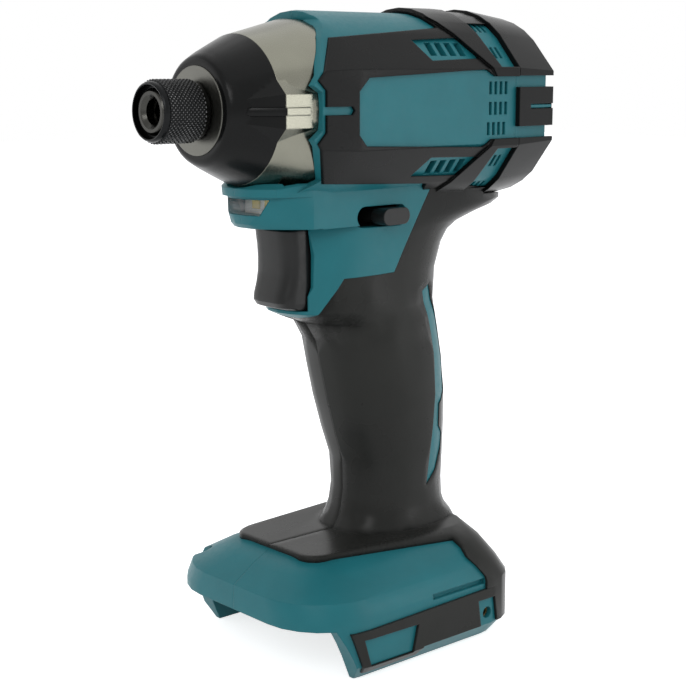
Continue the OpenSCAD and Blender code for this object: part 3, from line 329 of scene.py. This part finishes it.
LOOKS = {
    "housing_left": (teal, 0.4), "housing_right": (teal, 0.4), "rear_cover": (teal, 0.4),
    "soft_cover_left": (soft, 0.4), "soft_cover_right": (soft, 0.4), "rear_cover_pads": (pads, 0.45),
    "nose_bumper": (bumper, 0.5), "hammer_case": (case, 0.45), "anvil": (gunmetal, 0.2),
    "anvil_bush": (bronze, 0), "bit_balls": (steel, 0), "sleeve_ring": (oxide, 0),
    "hammer": (oxide, 0.3), "cam_balls": (steel, 0), "spindle": (steel, 0), "planet_pins": (steel, 0),
    "planet_gear_left": (steel, 0.1), "planet_gear_right": (steel, 0.1), "ring_gear": (gunmetal, 0),
    "spindle_bearing": (steel, 0.2), "bearing_box": (inner_black, 0.4), "pinion": (steel, 0),
    "armature": (gunmetal, 0), "windings": (copper, 0.4), "commutator": (copper, 0),
    "fan": (inner_black, 0.2), "motor_bearings": (steel, 0.2), "yoke": (gunmetal, 0.3),
    "magnets": (ferrite, 0.3), "brush_holder": (inner_black, 0.3), "brushes": (ferrite, 0.1),
    "switch_body": (inner_black, 0.4), "trigger": (black, 0), "reversing_lever": (black, 0.45),
    "lamp_board": (board, 0), "lamp_lens": (lens, 0), "terminal_block": (inner_black, 0.4),
    "terminal_blades": (bronze, 0.1), "hook_inserts": (bronze, 0.2), "rear_cover_screws": (oxide, 0.2),
    "housing_screws": (oxide, 0.2),
}
WELD_GAP = 0.00001
FLAT_ANGLE = math.radians(0.3)
RADIUS_ANGLE = math.radians(28)
CRISP_ANGLE = math.radians(30)
PIECE_SHARP_ANGLE = math.radians(40)


def smooth(mesh):
    mesh.polygons.foreach_set("use_smooth", [True] * len(mesh.polygons))


def modify(obj, name, kind, **settings):
    modifier = obj.modifiers.new(name, kind)
    for key, value in settings.items():
        setattr(modifier, key, value)


def dress(obj, material, edge):
    """Smooth shading that stays crisp at real edges, which get a small moulded radius."""
    mesh = obj.data
    mesh.materials.clear()
    mesh.materials.append(material)
    smooth(mesh)
    mesh.polygons.foreach_set("material_index", [0] * len(mesh.polygons))
    modify(obj, "joined_facets", "WELD", merge_threshold=WELD_GAP)
    modify(obj, "flat_faces", "DECIMATE", decimate_type="DISSOLVE", angle_limit=FLAT_ANGLE,
           delimit={"MATERIAL"})
    if edge:
        modify(obj, "edge_radius", "BEVEL", width=edge * MM, segments=2, limit_method="ANGLE",
               angle_limit=RADIUS_ANGLE)
    modify(obj, "crisp_edges", "EDGE_SPLIT", split_angle=CRISP_ANGLE)
    modify(obj, "even_normals", "WEIGHTED_NORMAL", keep_sharp=True, weight=60)


def second_material(node, material, chosen):
    """Gives another material to the faces of a node whose middle is chosen."""
    mesh = nodes[node].data
    mesh.materials.append(material)
    for face in mesh.polygons:
        if chosen(face.center):
            face.material_index = 1


for name, (material, edge) in LOOKS.items():
    dress(nodes[name], material, edge)

# The front ring of the hammer case is duller than its blasted cone
ring_back = at(127.2, 0, 0).x
second_material("hammer_case", ring_case, lambda middle: middle.x > ring_back)

# The two lamps on the board are yellow
board_front = at(103.75, 0, 0).x
lamps_reach = 0.0062
second_material("lamp_board", die, lambda middle: middle.x > board_front and abs(middle.y) < lamps_reach)


# Pieces that stand in for, or add to, CAD nodes

def ring_skin(rows, closed):
    """Points and faces of a skin over rings; the last ring joins the first if closed, else both are capped."""
    count = len(rows[0])
    points = [point for row in rows for point in row]
    faces = []
    for i in range(len(rows) if closed else len(rows) - 1):
        k = (i + 1) % len(rows)
        for j in range(count):
            m = (j + 1) % count
            faces.append((i * count + j, i * count + m, k * count + m, k * count + j))
    if not closed:
        faces += [tuple(range(count)), tuple(range(len(points) - count, len(points)))]
    return points, faces


def new_piece(name, rows, material, body, closed=False):
    """A smooth piece from rings of points, on a body."""
    points, faces = ring_skin(rows, closed)
    mesh = bpy.data.meshes.new(name)
    mesh.from_pydata(points, [], faces)
    mesh.validate()
    obj = add_object(name, mesh)
    build = bmesh.new()
    build.from_mesh(mesh)
    bmesh.ops.recalc_face_normals(build, faces=build.faces)
    build.to_mesh(mesh)
    build.free()
    mesh.materials.append(material)
    smooth(mesh)
    mesh.set_sharp_from_angle(angle=PIECE_SHARP_ANGLE)
    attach(obj, body)
    return obj


def spring(name, node, body, x0, x1, z, radius, wire, turns):
    """Round wire spring along X with an even pitch and capped ends."""
    around, steps = 10, 28
    count = round(turns * steps)
    rise = (x1 - x0 - 2 * wire) / count
    rows = []
    for k in range(count + 1):
        ring = []
        for i in range(around):
            b = 2 * math.pi * i / around
            x = x0 + wire + rise * k + wire * math.sin(b)
            ring.append(polar(x, radius + wire * math.cos(b), 2 * math.pi * k / steps, z))
        rows.append(ring)
    piece = new_piece(name, rows, steel, body)
    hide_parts(node)
    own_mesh(piece)


spring("hammer_spring_coil", "hammer_spring", "spindle",
       x0=80.9, x1=96.7, z=AXIS_Z, radius=12.4, wire=1.2, turns=3.5)
spring("sleeve_spring_coil", "sleeve_spring", "anvil",
       x0=135.8, x1=141.7, z=AXIS_Z, radius=7.55, wire=0.28, turns=2.5)
spring("trigger_spring_coil", "trigger_spring", "tool",
       x0=58.1, x1=73.9, z=123.4, radius=2.4, wire=0.4, turns=6)


def knurled_sleeve():
    """Bit sleeve with a diamond knurl: its outline runs along the outside and back through the bore."""
    around, starts, steps = 264, 44, 44
    back, front = 129, 145
    band_back, band_front = back + 2.2, front - 1.8
    r = 9.25
    groove_depth, groove_slope = 0.34, 1.5
    front_bore, collar_bore, back_bore = 8.35, 6.87, 7.9
    collar_back, collar_front = 132.6, 135.7

    def knurl_radius(x, angle):
        twist = (x - band_back) / r
        phases = [starts * (angle + way * twist) / (2 * math.pi) % 1 for way in (1, -1)]
        groove = min(abs(phase - 0.5) for phase in phases) * 2
        return r - groove_depth + groove_depth * min(1, groove * groove_slope)

    # Radius and place along the tool; the knurled band has None for its radius
    outline = [(r - 1.0, back), (r - 0.75, back + 0.25), (r - 0.75, band_back - 0.35),
               (r - 0.55, band_back - 0.1)]
    outline += [(None, band_back + (band_front - band_back) * i / steps) for i in range(steps + 1)]
    outline += [(r - 0.55, band_front + 0.12), (r - 0.62, front - 0.9), (r - 0.85, front - 0.3),
                (r - 1.25, front), (r - 1.55, front - 0.12), (front_bore, front - 0.5),
                (front_bore, collar_front), (collar_bore, collar_front), (collar_bore, collar_back),
                (back_bore, collar_back), (back_bore, back + 0.1)]
    angles = [2 * math.pi * j / around for j in range(around)]
    rows = [[polar(x, radius or knurl_radius(x, a), a) for a in angles] for radius, x in outline]
    piece = new_piece("bit_sleeve_knurled", rows, knurl, "sleeve", closed=True)
    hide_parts("bit_sleeve")


knurled_sleeve()


def bumper_rib(name, side):
    """Rib that carries the hammer case's side ridge on over the bumper's wedge, rounded at its front end."""
    # The section, across the rib and out from the wedge
    section = [(-1.3, -0.6), (-1.3, 0.5), (-1.15, 0.85), (-0.8, 1.0),
               (0.8, 1.0), (1.15, 0.85), (1.3, 0.5), (1.3, -0.6)]
    back, front = Vector((114.7, 24.32)), Vector((123.5, 17.54))
    along = (front - back).normalized()
    out = Vector((-along.y, along.x))
    length = (front - back).length
    # How far along the rib, and the share of the full section there
    stations = [(0.0, 1.0), (length - 1.5, 1.0), (length - 0.9, 0.93),
                (length - 0.45, 0.78), (length - 0.15, 0.55), (length, 0.3)]
    rows = []
    for run, share in stations:
        ring = []
        for across, lift in section:
            spot = back + along * run + out * (lift * share if lift > 0 else lift)
            ring.append(at(spot.x, side * spot.y, AXIS_Z + across * share))
        rows.append(ring)
    piece = new_piece(name, rows, bumper, "tool")


bumper_rib("bumper_rib_left", 1)
bumper_rib("bumper_rib_right", -1)


def lever_shield():
    """Dust shield inside the housing that closes the slot behind the reversing lever's thumb pieces."""
    pivot_x, middle_z = 44, 139.35
    turn = math.radians(LEVER_SWING / 2)
    middle_x, half_length, half_height, half_thick = 26.7, 10.2, 3.15, 0.6
    corner, corner_steps, cut = 1.6, 5, 0.2
    outline = []
    for quarter, (sx, sz) in enumerate([(1, 1), (-1, 1), (-1, -1), (1, -1)]):
        for step in range(corner_steps + 1):
            a = math.radians(90 * (quarter + step / corner_steps))
            outline.append((middle_x + sx * (half_length - corner) + corner * math.cos(a),
                            sz * (half_height - corner) + corner * math.sin(a)))
    rows = []
    for y, inset in [(-half_thick, cut), (cut - half_thick, 0), (half_thick - cut, 0), (half_thick, cut)]:
        ring = []
        for x, z in outline:
            x = middle_x + (x - middle_x) * (1 - inset / half_length)
            z = z * (1 - inset / half_height)
            ring.append(at(pivot_x + x * math.cos(turn) - y * math.sin(turn),
                           x * math.sin(turn) + y * math.cos(turn), middle_z + z))
        rows.append(ring)
    piece = new_piece("lever_shield", rows, black, "lever")


lever_shield()


# Backdrop light, floor and lamps

AMBIENT = 0.62
FLOOR_GLOW = 0.75
FLOOR_REACH, FLOOR_Z = 3, -0.0004
LAMP_TARGET = (0, 0, 0.11)
LAMPS = [  # name, place, size, power
    ("key", (0.75, 0.55, 0.65), (0.4, 0.4), 2.2),
    ("overhead", (-0.05, 0.0, 1.0), (1.3, 1.1), 1.8),
    ("front_fill", (0.70, -0.75, 0.30), (0.9, 0.9), 1.4),
    ("side_fill", (-0.66, 0.80, 0.30), (0.9, 0.9), 1.6),
    ("side_glint", (-0.46, 0.66, 0.16), (0.07, 0.32), 0.38),
]


def white_when_seen(tree, shader, white):
    """The eye and mirror rays see the white shader; other rays see the plain one."""
    path = tree.nodes.new("ShaderNodeLightPath")
    seen = tree.nodes.new("ShaderNodeMath")
    seen.operation = "MAXIMUM"
    tree.links.new(path.outputs["Is Camera Ray"], seen.inputs[0])
    tree.links.new(path.outputs["Is Glossy Ray"], seen.inputs[1])
    mix = tree.nodes.new("ShaderNodeMixShader")
    tree.links.new(seen.outputs[0], mix.inputs[0])
    tree.links.new(shader, mix.inputs[1])
    tree.links.new(white, mix.inputs[2])
    return mix.outputs[0]


world = bpy.data.worlds.new("studio")
bpy.context.scene.world = world
world.use_nodes = True
tree = world.node_tree
ambient = tree.nodes["Background"]
ambient.inputs["Color"].default_value = (0.95, 0.97, 1.0, 1)
ambient.inputs["Strength"].default_value = AMBIENT
white = tree.nodes.new("ShaderNodeBackground")
white.inputs["Color"].default_value = (1, 1, 1, 1)
white.inputs["Strength"].default_value = 1.0
tree.links.new(
    white_when_seen(tree, ambient.outputs[0], white.outputs[0]), tree.nodes["World Output"].inputs["Surface"]
)

floor_mesh = bpy.data.meshes.new("floor")
corners = [(FLOOR_REACH * x, FLOOR_REACH * y, FLOOR_Z) for x, y in [(-1, -1), (1, -1), (1, 1), (-1, 1)]]
floor_mesh.from_pydata(corners, [], [(0, 1, 2, 3)])
floor = add_object("floor", floor_mesh)
pale = Nodes("pale_floor")
pale.set(color=pale.tint(pale.noise(6), (0.84, 0.84, 0.84), (0.88, 0.88, 0.88)), rough=0.8)
plain = pale.shader.outputs[0]
glow = pale.add("ShaderNodeEmission", {"Color": (1, 1, 1, 1), "Strength": FLOOR_GLOW}).outputs[0]
both = pale.add("ShaderNodeAddShader", {0: plain, 1: glow}).outputs[0]
pale.tree.links.new(
    white_when_seen(pale.tree, plain, both), pale.tree.nodes["Material Output"].inputs["Surface"]
)
floor_mesh.materials.append(pale.material)

for name, place, size, power in LAMPS:
    light = bpy.data.lights.new(name, "AREA")
    light.shape = "RECTANGLE"
    light.size, light.size_y = size
    light.energy = power
    aim(add_object(name, light), place, LAMP_TARGET)
